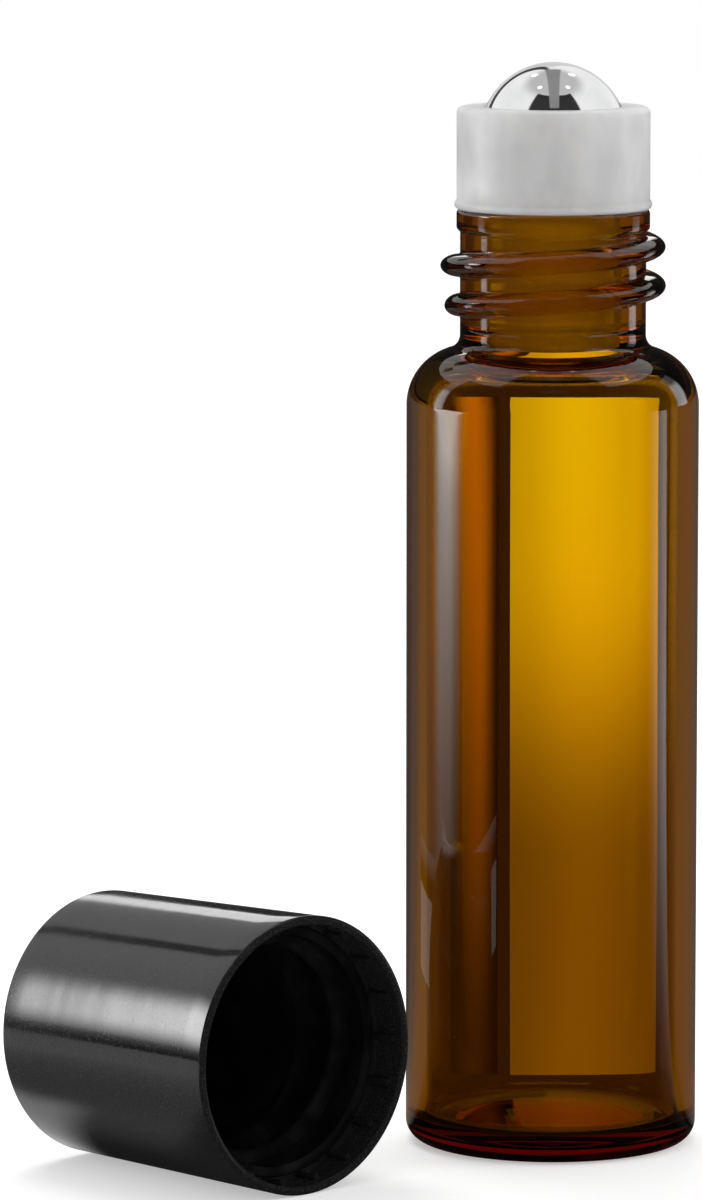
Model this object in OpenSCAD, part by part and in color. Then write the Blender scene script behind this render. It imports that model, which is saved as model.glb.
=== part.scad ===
// Roll-on bottle: an amber glass bottle with a ball housing pressed into its neck, a steel
// ball, and a screw cap of a glossy shell, a threaded sleeve and a sealing disc.
// The bottle stands on its base at the origin, with its axis along +Z. The cap lies on its
// side next to it, with its axis along Y and its mouth towards -Y.
// All sizes are in millimetres.

/* [Bottle body] */
// Outer diameter of the glass body
body_d = 20; // [18.8:0.2:30]
// Height of the straight side, from the base to the start of the shoulder
side_h = 51; // [30:1:90]
// Thickness of the glass wall
wall = 1.4; // [1:0.1:2]
// Thickness of the glass base
base_t = 1.8; // [1.5:0.1:5]
// Radius of the round heel at the foot of the body
heel_r = 1.5; // [0.8:0.1:2.2]
// Radius of the round shoulder
shoulder_r = 4; // [3.2:0.1:4.6]
// Diameter of the hollow under the base
hollow_d = 13; // [8:0.5:14]
// Depth of the hollow under the base
hollow_h = 0.6; // [0.3:0.1:1]

/* [Neck] */
// Outer diameter of the neck between its threads
neck_d = 12.7; // [12:0.1:13]
// Height of the rim above the top of the shoulder's curve
neck_h = 9.4; // [8.6:0.1:14]
// Radius of the fillet where the neck meets the shoulder
root_r = 1; // [0.6:0.1:1.2]
// Diameter of the bore that takes the housing's plug
bore_d = 9.4; // [8.6:0.1:9.8]
// Diameter of the smooth band at the top of the neck
finish_d = 13.2; // [13.1:0.1:13.4]
// Height of that band
finish_h = 1.3; // [0.8:0.1:1.6]

/* [Screw thread] */
// Diameter over the thread bead
thread_d = 15.4; // [15:0.1:15.6]
// Climb of the thread in one turn
pitch = 2.7; // [2.5:0.1:3]
// Length of the thread in turns
thread_turns = 1.68; // [1.2:0.04:1.8]
// Height of the bead at its root, along the neck
bead_w = 1.6; // [1.2:0.1:1.7]
// Height of the middle of the thread's lower end above the top of the shoulder's curve
thread_lift = 2.66; // [2.4:0.02:3]
// Direction in which the thread's lower end lies, in degrees from +X
thread_from = 112.5; // [0:2.5:360]

/* [Ball and housing] */
// Diameter of the steel ball
ball_d = 10; // [9:0.1:10.4]
// How far the ball stands out of its housing
ball_proud = 3; // [2:0.1:3.2]
// Diameter of the ring that holds the ball
ring_d = 13.2; // [12.8:0.1:13.2]
// Height of that ring above the glass rim
ring_h = 7; // [6.8:0.1:8]
// Depth of the plug in the bore
plug_h = 10; // [5:0.5:10]
// Wall of the plug
plug_wall = 1.1; // [0.8:0.1:1.5]
// Diameter of the feed hole under the ball
feed_d = 4.4; // [1.5:0.1:5]

/* [Cap] */
// Outer diameter of the cap at its mouth
cap_mouth_d = 18.8; // [18.4:0.1:20]
// Outer diameter of the cap at its closed end
cap_end_d = 18; // [17.8:0.1:18.4]
// Length of the cap's straight side
cap_side_h = 20.9; // [20.8:0.1:26]
// Rise of the domed end above the rim
dome_h = 1.7; // [0.8:0.1:2.5]
// Wall of the shell where it holds the sleeve
shell_wall = 0.85; // [0.75:0.05:0.9]
// Wall of the shell's thin lip at the mouth
lip_wall = 0.6; // [0.45:0.05:0.65]
// Depth of the lip, from the mouth to the sleeve
lip_h = 2.6; // [2:0.1:3]
// Number of short ribs inside the lip
rib_count = 18; // [8:1:30]
// Thickness of the sealing disc
disc_t = 0.6; // [0.4:0.1:0.8]
// Wall of the shell's closed end at its edge, under the dome
end_wall = 0.8; // [0.6:0.1:2]

/* [Where the cap is] */
// The cap lies next to the bottle, or is screwed on
cap_place = "beside"; // [beside, on]
// Distance of the lying cap's axis from the bottle's axis
cap_side_x = 25.5; // [22:0.5:60]
// How far the lying cap's mouth is in front of the bottle's axis
cap_front_y = 3; // [-20:0.5:20]

/* [Hidden] */

// Fineness: facets of a full circle, steps of an outline's arc, and thread rings in a turn
$fn = 96;
arc_steps = 10;
dome_steps = 24;
turn_steps = 24;
bead_steps = 6;

// How far a cut runs past what it cuts
overrun = 1;
// How deep a bead or a rib is set into the wall that it stands on
set_in = 0.15;

// Bottle
body_r = body_d / 2;
neck_r = neck_d / 2;
bore_r = bore_d / 2;
finish_r = finish_d / 2;
hollow_r = hollow_d / 2;
inner_r = body_r - wall;
shoulder_top_z = side_h + shoulder_r;
rim_z = shoulder_top_z + neck_h;
// The root fillet touches the neck and the shoulder's arc
root_x = neck_r + root_r;
root_run = root_x - (body_r - shoulder_r);
root_rise = sqrt(pow(shoulder_r + root_r, 2) - pow(root_run, 2));
root_angle = atan2(root_rise, root_run);
// Rounds of the rim, of the throat under the bore and of the floor's edge inside
rim_round = 0.3;
throat_r = 1;
floor_round = 0.8;
// Height of the bulge of the floor inside, over the hollow under the base
floor_rise = hollow_h;
// Sphere of the hollow under the base
hollow_sphere_r = (pow(hollow_r, 2) + pow(hollow_h, 2)) / (2 * hollow_h);
hollow_angle = asin(hollow_r / hollow_sphere_r);

// Thread
bead_h = thread_d / 2 - neck_r;
thread_low_z = shoulder_top_z + thread_lift;
// Share of a turn over which each end of a thread fades out
fade_share = 0.14;

// Housing and ball
ball_r = ball_d / 2;
ring_r = ring_d / 2;
ring_top_z = rim_z + ring_h;
ball_z = ring_top_z + ball_proud - ball_r;
// Running gap round the ball, and the web of plastic under it
ball_gap = 0.06;
web_t = 1;
// Slack between the plug and the bore, and how far the plug's ribs bite into the glass
plug_slack = 0.1;
plug_bite = 0.04;
plug_rib_r = 0.4;
plug_rib_count = 3;
plug_taper = 0.8;
ring_round = 0.45;
// Small bead round the ring's foot
foot_bead_r = 0.35;
foot_bead_out = 0.15;
plug_r = bore_r - plug_slack;
plug_hollow_r = plug_r - plug_wall;
web_low_z = ball_z - ball_r - ball_gap - web_t;

// Cap, drawn standing on its mouth
cap_mouth_r = cap_mouth_d / 2;
cap_end_r = cap_end_d / 2;
cap_h = cap_side_h + dome_h;
cap_slope = (cap_mouth_r - cap_end_r) / cap_side_h;
cap_tilt = atan(cap_slope);
mouth_round = 0.22;
end_round = 0.4;
// Least gap between the mouth of the closed cap and the top of the shoulder's curve
seat_gap = 0.4;
// Gaps between the ball and the disc, between the sleeve and the shell, and round the disc
disc_gap = 0.05;
sleeve_gap = 0.05;
disc_slack = 0.1;
// From the shell's closed end down to the face of the disc, through the sleeve's closed end
sleeve_end_t = 0.6;
shell_floor = cap_side_h - end_wall;
sleeve_high = shell_floor - sleeve_gap;
disc_high = sleeve_high - sleeve_end_t;
disc_low = disc_high - disc_t;
// Height of the closed cap's mouth: the disc meets the ball, unless the shoulder is in the way
closed_z = max(shoulder_top_z + seat_gap, ring_top_z + ball_proud + disc_gap - disc_low);
// Sleeve: radial room outside the bead and outside the ring, and its thread
thread_room = 0.12;
ring_room = 0.35;
sleeve_root_r = thread_d / 2 + thread_room;
sleeve_bore_r = finish_r + ring_room;
sleeve_chamfer = 0.25;
ridge_h = sleeve_root_r - sleeve_bore_r;
ridge_w = 1.15;
ridge_turns = 1.2;
ridge_low = lip_h + sleeve_chamfer + ridge_w / 2;
// The sleeve's thread ends under its narrower bore
sleeve_step = ridge_low + ridge_turns * pitch + ridge_w;
// On the closed bottle the sleeve's ridge runs midway between two turns of the bead
ridge_from = thread_from + 360 * (closed_z + ridge_low + pitch / 2 - thread_low_z) / pitch;
// Ribs in the lip
rib_w = 0.5;
rib_h = 0.3;
rib_low = 0.75;

// Points of an arc round a centre, from one angle to another
function arc(centre, r, from, to, steps = arc_steps) = [
    for (i = [0:steps])
        let (a = from + (to - from) * i / steps)
            centre + r * [cos(a), sin(a)]
];

// Radius of the cap's outside at a height above its mouth
function cap_r(h) = cap_mouth_r - cap_slope * h;

// Outline of the glass outside, from the middle of the base to the top of the neck
function glass_outside() = concat(
    arc([0, hollow_h - hollow_sphere_r], hollow_sphere_r, 90, 90 - hollow_angle),
    arc([body_r - heel_r, heel_r], heel_r, -90, 0),
    arc([body_r - shoulder_r, side_h], shoulder_r, 0, root_angle),
    arc([root_x, side_h + root_rise], root_r, root_angle + 180, 180),
    [[neck_r, rim_z - finish_h - (finish_r - neck_r)], [finish_r, rim_z - finish_h]],
    arc([finish_r - rim_round, rim_z - rim_round], rim_round, 0, 90)
);

// Outline of the glass inside, from the top of the bore to the middle of the floor
function glass_inside() = concat(
    arc([bore_r + rim_round, rim_z - rim_round], rim_round, 90, 180),
    arc([bore_r + throat_r, shoulder_top_z - wall + throat_r], throat_r, 180, 270),
    arc([body_r - shoulder_r, side_h], shoulder_r - wall, 90, 0),
    arc([inner_r - floor_round, base_t + floor_round], floor_round, 0, -90),
    arc([0, base_t + floor_rise - hollow_sphere_r], hollow_sphere_r, 90 - hollow_angle, 90)
);

// A helical bead round +Z. It stands out from root_r by height, to the outside with side 1
// and to the inside with side -1, starts at angle from, and fades out at both ends.
module thread_bead(root_r, height, width, turns, from, side) {
    rings = round(turns * turn_steps);
    // From 0 at the ends to 1 where the bead has its full height
    function fade(i) = sin(90 * min(1, min(i, rings - i) / (fade_share * turn_steps)));
    // One ring of points: a half round, then two points inside the wall
    function ring(i) =
        let (
            stand = (height + set_in / 2) * fade(i) - set_in * (1 - fade(i)),
            outer = [
                for (k = [0:bead_steps])
                    let (a = 180 * k / bead_steps - 90)
                        [stand * cos(a) - set_in / 2, width / 2 * sin(a)]
            ],
            inner = [[-2 * set_in, width / 2], [-2 * set_in, -width / 2]],
            all = concat(outer, inner),
            turn = i / turn_steps,
            a = from + 360 * turn
        )
        [for (p = side > 0 ? all : [for (j = [len(all) - 1:-1:0]) all[j]])
            let (r = root_r + side * p[0]) [r * cos(a), r * sin(a), p[1] + pitch * turn]];
    n = bead_steps + 3;
    points = [for (i = [0:rings]) each ring(i)];
    sides = [
        for (i = [0:rings - 1], k = [0:n - 1])
            let (a = i * n + k, b = i * n + (k + 1) % n)
                each [[a, b, a + n], [b, b + n, a + n]]
    ];
    ends = [[for (k = [n - 1:-1:0]) k], [for (k = [0:n - 1]) rings * n + k]];
    polyhedron(points = points, faces = concat(sides, ends), convexity = 8);
}

// Amber glass bottle, with its screw thread
module bottle_glass() {
    color("darkgoldenrod", 0.6) {
        rotate_extrude() polygon(concat(glass_outside(), glass_inside()));
        translate([0, 0, thread_low_z])
            thread_bead(neck_r, bead_h, bead_w, thread_turns, thread_from, 1);
    }
}

// Ring that holds the ball, in one piece with the ribbed plug in the bore
module roller_housing() {
    color("whitesmoke") {
        difference() {
            rotate_extrude() polygon(concat(
                [[0, rim_z - plug_h], [plug_r - plug_slack, rim_z - plug_h]],
                [[plug_r, rim_z - plug_h + plug_taper], [plug_r, rim_z]],
                [[ring_r, rim_z]],
                arc([ring_r - ring_round, ring_top_z - ring_round], ring_round, 0, 90),
                [[0, ring_top_z]]
            ));
            translate([0, 0, ball_z]) sphere(ball_r + ball_gap);
            translate([0, 0, web_low_z - overrun]) cylinder(h = ball_z - web_low_z, d = feed_d);
            translate([0, 0, rim_z - plug_h - overrun])
                cylinder(h = web_low_z - rim_z + plug_h + overrun, r = plug_hollow_r);
        }
        foot_bead();
        plug_ribs();
    }
}

// Small round bead at the foot of the ring
module foot_bead() {
    translate([0, 0, rim_z + foot_bead_r])
        rotate_extrude() translate([ring_r + foot_bead_out - foot_bead_r, 0]) circle(foot_bead_r);
}

// Ribs that grip the bore
module plug_ribs() {
    step = (plug_h - plug_taper) / plug_rib_count;
    for (i = [0:plug_rib_count - 1])
        translate([0, 0, rim_z - plug_h + plug_taper + step * (i + 0.5)])
            rotate_extrude() translate([bore_r + plug_bite - plug_rib_r, 0]) circle(plug_rib_r);
}

// Steel ball
module roller_ball() {
    color("lightsteelblue") translate([0, 0, ball_z]) sphere(ball_r);
}

// Puts a piece of the cap, drawn standing on its mouth, in its place
module place_cap() {
    if (cap_place == "on")
        translate([0, 0, closed_z]) children();
    else
        translate([-cap_side_x, -cap_front_y, cap_mouth_r * cos(cap_tilt)])
            rotate([-90 - cap_tilt, 0, 0]) children();
}

// Outline of the shell's outside, from its mouth to the top of its dome
function shell_outside() =
    let (
        mouth_x = cap_r(mouth_round) - mouth_round / cos(cap_tilt),
        end_x = cap_r(cap_side_h - end_round) - end_round / cos(cap_tilt),
        end_y = cap_side_h - end_round,
        // The dome's arc touches the round of the rim from inside
        dome_r = (pow(end_x, 2) + pow(cap_h - end_y, 2) - pow(end_round, 2))
            / (2 * (cap_h - end_y - end_round)),
        dome_y = cap_h - dome_r,
        dome_angle = atan2(end_y - dome_y, end_x)
    )
    concat(
        arc([mouth_x, mouth_round], mouth_round, -90, cap_tilt),
        arc([end_x, end_y], end_round, cap_tilt, dome_angle),
        arc([0, dome_y], dome_r, dome_angle, 90, dome_steps)
    );

// Glossy outer shell of the cap, with short ribs in its lip
module cap_shell() {
    color("black") place_cap() {
        rotate_extrude() polygon(concat(
            [[cap_r(0) - lip_wall, 0]],
            shell_outside(),
            [
                [0, shell_floor],
                [cap_r(shell_floor) - shell_wall, shell_floor],
                [cap_r(lip_h) - shell_wall, lip_h],
                [cap_r(lip_h) - lip_wall, lip_h]
            ]
        ));
        for (i = [0:rib_count - 1])
            rotate([0, 0, 360 * i / rib_count])
                translate([cap_r(rib_low) - lip_wall - rib_h, -rib_w / 2, rib_low])
                    cube([rib_h + set_in, rib_w, lip_h - rib_low + set_in]);
    }
}

// Threaded sleeve pressed into the shell
module cap_insert() {
    color("dimgray") place_cap() {
        rotate_extrude() polygon([
            [sleeve_root_r + sleeve_chamfer, lip_h],
            [cap_r(lip_h) - shell_wall - sleeve_gap, lip_h],
            [cap_r(sleeve_high) - shell_wall - sleeve_gap, sleeve_high],
            [0, sleeve_high],
            [0, disc_high],
            [sleeve_bore_r, disc_high],
            [sleeve_bore_r, sleeve_step + ridge_h],
            [sleeve_root_r, sleeve_step],
            [sleeve_root_r, lip_h + sleeve_chamfer]
        ]);
        translate([0, 0, ridge_low])
            thread_bead(sleeve_root_r, ridge_h, ridge_w, ridge_turns, ridge_from, -1);
    }
}

// Sealing disc that presses on the ball of the closed bottle
module cap_liner() {
    color("gainsboro") place_cap()
        translate([0, 0, disc_low]) cylinder(h = disc_t, r = sleeve_bore_r - disc_slack);
}

bottle_glass();
roller_housing();
roller_ball();
cap_shell();
cap_insert();
cap_liner();
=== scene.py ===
"""Looks of an amber glass roll-on bottle, and of its screw cap, which lies next to it.

Sizes are in millimetres in the classes and in metres in Blender. Heights are above the floor,
or above the cap's mouth for the pieces of the cap, which are turned standing and then laid down.
"""

import logging
import math
from dataclasses import dataclass, field
from enum import Enum
from typing import Callable, Sequence

import bpy
from mathutils import Matrix, Vector


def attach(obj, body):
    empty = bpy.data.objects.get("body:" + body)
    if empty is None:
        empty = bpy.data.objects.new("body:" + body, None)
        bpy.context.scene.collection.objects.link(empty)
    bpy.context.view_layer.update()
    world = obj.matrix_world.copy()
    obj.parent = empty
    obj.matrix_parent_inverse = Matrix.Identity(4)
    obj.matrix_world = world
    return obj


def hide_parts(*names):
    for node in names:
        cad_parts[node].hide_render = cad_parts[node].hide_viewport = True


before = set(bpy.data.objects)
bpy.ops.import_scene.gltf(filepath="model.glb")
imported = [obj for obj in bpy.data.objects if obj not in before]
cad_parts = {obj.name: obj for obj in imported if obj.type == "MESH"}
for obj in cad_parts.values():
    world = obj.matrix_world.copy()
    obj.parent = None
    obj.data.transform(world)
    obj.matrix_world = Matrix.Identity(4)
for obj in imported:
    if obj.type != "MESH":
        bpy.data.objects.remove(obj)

log = logging.getLogger("roll_on_bottle")

MM = 0.001
Point = tuple[float, float]
Place = tuple[float, float, float]
Colour = tuple[float, float, float, float]
WHITE: Colour = (1, 1, 1, 1)

# The screw thread's climb in a turn and the height of its lower end, in mm, and the direction
# of that end from +X, in turns.
PITCH = 2.7
THREAD_LOW = 57.66
THREAD_START = 0.3125
# Edges of the cap's hard pieces that turn by less than this angle are shaded smooth.
CREASE = math.radians(50)


# ---------------------------------------------------------------- outlines


def arc(centre: Point, radius: float, start: float, stop: float, steps: int) -> list[Point]:
    """Gives the points of an arc.

    Args:
        centre: radius and height of the arc's centre, in mm.
        radius: radius of the arc, in mm.
        start: angle of the first point, in degrees.
        stop: angle of the last point, in degrees.
        steps: number of edges.

    Returns:
        The points, in order.
    """
    angles = (math.radians(start + (stop - start) * i / steps) for i in range(steps + 1))
    return [(centre[0] + radius * math.cos(a), centre[1] + radius * math.sin(a)) for a in angles]


def eased(points: Sequence[Point], radius: float, steps: int = 4, turn: float = 24.0) -> list[Point]:
    """Rounds the corners of an outline, as moulded and fire-polished edges are round.

    Args:
        points: the outline's points, in mm.
        radius: radius of the rounds, in mm, less where an edge is short.
        steps: edges of each round.
        turn: corners that turn by less than this, in degrees, stay as they are.

    Returns:
        The outline with its corners rounded.
    """
    made = [points[0]]
    for before, here, after in zip(points, points[1:], points[2:]):
        a, b = Vector(before) - Vector(here), Vector(after) - Vector(here)
        bend = math.pi - a.angle(b, math.pi)
        if bend < math.radians(turn):
            made.append(here)
            continue
        reach = min(radius * math.tan(bend / 2), 0.45 * a.length, 0.45 * b.length)
        first, last = Vector(here) + a.normalized() * reach, Vector(here) + b.normalized() * reach
        for i in range(steps + 1):
            t = i / steps
            made.append(tuple((1 - t) ** 2 * first + 2 * t * (1 - t) * Vector(here) + t * t * last))
    return made + [points[-1]]


# ---------------------------------------------------------------- modelling by operators


def only(piece: bpy.types.Object) -> None:
    """Makes one object the selected and active one."""
    bpy.ops.object.select_all(action="DESELECT")
    piece.select_set(True)
    bpy.context.view_layer.objects.active = piece


def applied(piece: bpy.types.Object, kind: str, settings: dict[str, object]) -> None:
    """Adds a modifier to a piece and applies it.

    Args:
        piece: the piece.
        kind: the modifier's type.
        settings: its settings by name.
    """
    only(piece)
    modifier = piece.modifiers.new(kind.lower(), kind)
    for name, value in settings.items():
        setattr(modifier, name, value)
    bpy.ops.object.modifier_apply(modifier=modifier.name)


def drawn(name: str, points: Sequence[Point]) -> bpy.types.Object:
    """Draws a chain of edges by extruding one vertex from point to point.

    Args:
        name: name of the object.
        points: radius and height of each point, in mm.

    Returns:
        The object, with the chain in the plane of X and Z.
    """
    bpy.ops.object.select_all(action="DESELECT")
    bpy.ops.mesh.primitive_plane_add(size=MM)
    chain = bpy.context.active_object
    chain.name = chain.data.name = name
    bpy.ops.object.mode_set(mode="EDIT")
    bpy.ops.mesh.select_all(action="SELECT")
    bpy.ops.mesh.merge(type="CENTER")
    bpy.ops.transform.translate(value=(points[0][0] * MM, 0, points[0][1] * MM))
    for here, after in zip(points, points[1:]):
        step = ((after[0] - here[0]) * MM, 0, (after[1] - here[1]) * MM)
        bpy.ops.mesh.extrude_vertices_move(TRANSFORM_OT_translate={"value": step})
    bpy.ops.object.mode_set(mode="OBJECT")
    return chain


def closed_up(piece: bpy.types.Object) -> None:
    """Merges a piece's seams and poles, points its faces outwards and shades it smooth."""
    only(piece)
    bpy.ops.object.mode_set(mode="EDIT")
    bpy.ops.mesh.select_all(action="SELECT")
    bpy.ops.mesh.remove_doubles(threshold=0.002 * MM)
    bpy.ops.mesh.dissolve_degenerate(threshold=0.001 * MM)
    bpy.ops.mesh.normals_make_consistent(inside=False)
    bpy.ops.object.mode_set(mode="OBJECT")
    bpy.ops.object.shade_smooth()


def spun(chain: bpy.types.Object, sides: int, turns: int = 1, climb: float = 0.0) -> None:
    """Sweeps a chain of edges round the Z axis into a surface.

    Args:
        chain: the chain.
        sides: faces in a turn.
        turns: number of turns.
        climb: climb in one turn, in mm.
    """
    applied(chain, "SCREW", {
        "axis": "Z", "angle": math.tau, "steps": sides, "render_steps": sides, "iterations": turns,
        "screw_offset": climb * MM, "use_merge_vertices": False, "use_smooth_shade": True,
    })


def turned(name: str, points: Sequence[Point], sides: int, loop: bool = False) -> bpy.types.Object:
    """Turns an outline round the Z axis into a piece.

    Args:
        name: name of the piece.
        points: the outline's points, radius and height in mm.
        sides: faces round the piece.
        loop: True if the outline closes on itself, away from the axis.

    Returns:
        The piece.
    """
    piece = drawn(name, [*points, points[0]] if loop else points)
    spun(piece, sides)
    return piece


def joined(pieces: Sequence[bpy.types.Object]) -> bpy.types.Object:
    """Joins pieces into the first one.

    Args:
        pieces: the pieces.

    Returns:
        The first piece, which now holds them all.
    """
    only(pieces[0])
    for piece in pieces[1:]:
        piece.select_set(True)
    bpy.ops.object.join()
    return pieces[0]


@dataclass(frozen=True)
class Thread:
    """A screw thread whose bead and wall are one surface.

    Attributes:
        root: radius of the wall that carries the bead.
        stand: how far the bead stands out of the wall, less than zero towards the axis.
        width: width of the bead at its root.
        turns: length of the bead in turns.
        pitch: climb in one turn.
        low: height of the middle of the bead's lower end.
        start: direction of that end, in turns from +X.
        bottom: height at which the threaded wall begins.
        top: height at which it ends.
        fade: share of a turn over which an end of the bead runs out.
        fillet: radius of the fillets at the bead's root.
        steps: edges of the bead's cross-section.
    """

    root: float
    stand: float
    width: float
    turns: float
    pitch: float
    low: float
    start: float
    bottom: float
    top: float
    fade: float = 0.14
    fillet: float = 0.22
    steps: int = 14

    def outline(self) -> list[Point]:
        """Gives one pitch of wall with the bead's cross-section in its middle, with fillets."""
        half = self.width / 2
        bead = [
            (self.root + self.stand * math.cos(a), half * math.sin(a))
            for a in (math.pi * (i / self.steps - 0.5) for i in range(self.steps + 1))
        ]
        wall = [(self.root, -self.pitch / 2), (self.root, -(self.pitch / 2 + half) / 2)]
        rest = [(r, -z) for r, z in reversed(wall)]
        return [wall[0], *eased([wall[1], *bead, rest[0]], self.fillet, 4, 40.0), rest[1]]

    def height_share(self, turn: float) -> float:
        """Gives the bead's height at a turn from its lower end, from 0 to 1."""
        room = min(turn, self.turns - turn)
        return 0.0 if room <= 0 else math.sin(math.pi / 2 * min(1.0, room / self.fade))

    def wall(self, name: str, sides: int) -> bpy.types.Object:
        """Builds the threaded wall as an open tube.

        Args:
            name: name of the object.
            sides: faces in a turn.

        Returns:
            The tube. Its two rims are plain rings at the bottom and the top.
        """
        outline = self.outline()
        before = self.start
        while self.low - self.pitch * before > self.bottom - self.pitch / 2:
            before += 1
        first = self.low - self.pitch * before
        count = math.ceil((self.top - first + self.pitch / 2) / self.pitch)
        tube = drawn(name, [(r, first + z) for r, z in outline])
        spun(tube, sides, count, self.pitch)
        for vertex in tube.data.vertices:
            step, place = divmod(vertex.index, len(outline))
            radius = outline[place][0]
            share = self.height_share(step / sides - before)
            shrink = (self.root + (radius - self.root) * share) / radius
            vertex.co.x *= shrink
            vertex.co.y *= shrink
            vertex.co.z = min(max(vertex.co.z, self.bottom * MM), self.top * MM)
        return tube


# ---------------------------------------------------------------- shader nodes


class Value:
    """A shader value that Python's operators work on."""

    def __init__(self, nodes: "Nodes", socket: bpy.types.NodeSocket) -> None:
        """Wraps a socket of a node tree."""
        self.nodes = nodes
        self.socket = socket

    def maths(self, operation: str, *others: "Value | float") -> "Value":
        """Adds a Math node on this value and the others."""
        inputs = {i: other for i, other in enumerate((self, *others))}
        node = self.nodes.add("ShaderNodeMath", {"operation": operation}, inputs)
        return Value(self.nodes, node.outputs[0])

    def __add__(self, other: "Value | float") -> "Value":
        """Adds."""
        return self.maths("ADD", other)

    def __sub__(self, other: "Value | float") -> "Value":
        """Subtracts."""
        return self.maths("SUBTRACT", other)

    def __mul__(self, other: "Value | float") -> "Value":
        """Multiplies."""
        return self.maths("MULTIPLY", other)

    def __rsub__(self, other: float) -> "Value":
        """Takes this value from a number."""
        return self.maths("MULTIPLY", -1.0).maths("ADD", other)

    __radd__ = __add__
    __rmul__ = __mul__

    def rise(self, low: float, high: float) -> "Value":
        """Gives 0 up to low and 1 from high, with a smooth change between."""
        settings = {"interpolation_type": "SMOOTHSTEP"}
        inputs = {"Value": self, "From Min": low, "From Max": high}
        node = self.nodes.add("ShaderNodeMapRange", settings, inputs)
        return Value(self.nodes, node.outputs[0])

    def band(self, low: float, high: float, soft: float) -> "Value":
        """Gives 1 between low and high, and 0 outside, with edges soft wide."""
        return self.rise(low - soft, low) * (1 - self.rise(high, high + soft))


class Nodes:
    """The nodes of one material or world."""

    def __init__(self, owner: bpy.types.ID) -> None:
        """Empties the node tree of a material or world."""
        owner.use_nodes = True
        self.tree = owner.node_tree
        self.tree.nodes.clear()

    def add(
        self,
        kind: str,
        settings: dict[str, object] | None = None,
        inputs: dict[str | int, object] | None = None,
    ) -> bpy.types.Node:
        """Adds a node.

        Args:
            kind: the node's type.
            settings: its settings by name.
            inputs: a number, colour, socket or Value for each socket, by name or number.

        Returns:
            The node.
        """
        node = self.tree.nodes.new(kind)
        for name, value in (settings or {}).items():
            setattr(node, name, value)
        for name, value in (inputs or {}).items():
            value = value.socket if isinstance(value, Value) else value
            if isinstance(value, bpy.types.NodeSocket):
                self.tree.links.new(value, node.inputs[name])
            else:
                node.inputs[name].default_value = value
        return node

    def value(
        self, kind: str, output: str | int, inputs: dict[str | int, object] | None = None
    ) -> Value:
        """Adds a node and gives one of its outputs as a value."""
        return Value(self, self.add(kind, None, inputs).outputs[output])

    def place(self, stretch: Place = (1, 1, 1), turn: float = 0.0) -> bpy.types.NodeSocket:
        """Gives Object coordinates, stretched, and turned about X by an angle in degrees."""
        where = self.add("ShaderNodeTexCoord").outputs["Object"]
        spin = (math.radians(turn), 0, 0)
        inputs = {"Vector": where, "Scale": stretch, "Rotation": spin}
        return self.add("ShaderNodeMapping", None, inputs).outputs[0]

    def split(self, where: bpy.types.NodeSocket) -> tuple[Value, Value, Value]:
        """Gives the three parts of a vector."""
        node = self.add("ShaderNodeSeparateXYZ", None, {0: where})
        return tuple(Value(self, node.outputs[i]) for i in range(3))

    def noise(
        self, where: bpy.types.NodeSocket, scale: float, detail: float = 2.0, rough: float = 0.5
    ) -> Value:
        """Adds noise, of the given number of waves in a metre."""
        inputs = {"Vector": where, "Scale": scale, "Detail": detail, "Roughness": rough}
        return self.value("ShaderNodeTexNoise", 0, inputs)

    def mix(self, share: Value, first: Colour, second: Colour) -> bpy.types.NodeSocket:
        """Mixes two colours by a share from 0 to 1."""
        inputs = {0: share, 6: first, 7: second}
        return self.add("ShaderNodeMix", {"data_type": "RGBA"}, inputs).outputs[2]

    def bump(self, height: Value, strength: float, distance: float) -> bpy.types.NodeSocket:
        """Adds a bump of a height from 0 to 1 over a distance in mm."""
        inputs = {"Height": height, "Strength": strength, "Distance": distance * MM}
        return self.add("ShaderNodeBump", None, inputs).outputs[0]

    def emission(self, strength: Value | float, colour: object = WHITE) -> bpy.types.Node:
        """Adds a shader that gives off light."""
        return self.add("ShaderNodeEmission", None, {"Color": colour, "Strength": strength})

    def blend(self, share: Value, first: bpy.types.Node, second: bpy.types.Node) -> bpy.types.Node:
        """Mixes two shaders by a share from 0 to 1."""
        inputs = {0: share, 1: first.outputs[0], 2: second.outputs[0]}
        return self.add("ShaderNodeMixShader", None, inputs)

    def both(self, first: bpy.types.Node, second: bpy.types.Node) -> bpy.types.Node:
        """Adds two shaders up."""
        return self.add("ShaderNodeAddShader", None, {0: first.outputs[0], 1: second.outputs[0]})

    def ends_in(self, shader: bpy.types.Node, output: str = "ShaderNodeOutputMaterial") -> bpy.types.Node:
        """Adds the output, with a shader on the surface."""
        return self.add(output, None, {"Surface": shader.outputs[0]})


def finished(name: str, build: Callable[[Nodes], tuple[dict, dict | None]]) -> bpy.types.Material:
    """Makes a material from a Principled shader and, for glass, what fills it.

    Args:
        name: name of the material.
        build: gives the shader's inputs and the inputs of an absorbing volume, or None.

    Returns:
        The material.
    """
    material = bpy.data.materials.new(name)
    nodes = Nodes(material)
    surface, volume = build(nodes)
    shader = nodes.add("ShaderNodeBsdfPrincipled", None, surface)
    out = nodes.ends_in(shader)
    if volume:
        filling = nodes.add("ShaderNodeVolumeAbsorption", None, volume)
        nodes.tree.links.new(filling.outputs[0], out.inputs["Volume"])
    return material


# ---------------------------------------------------------------- finishes


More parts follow.
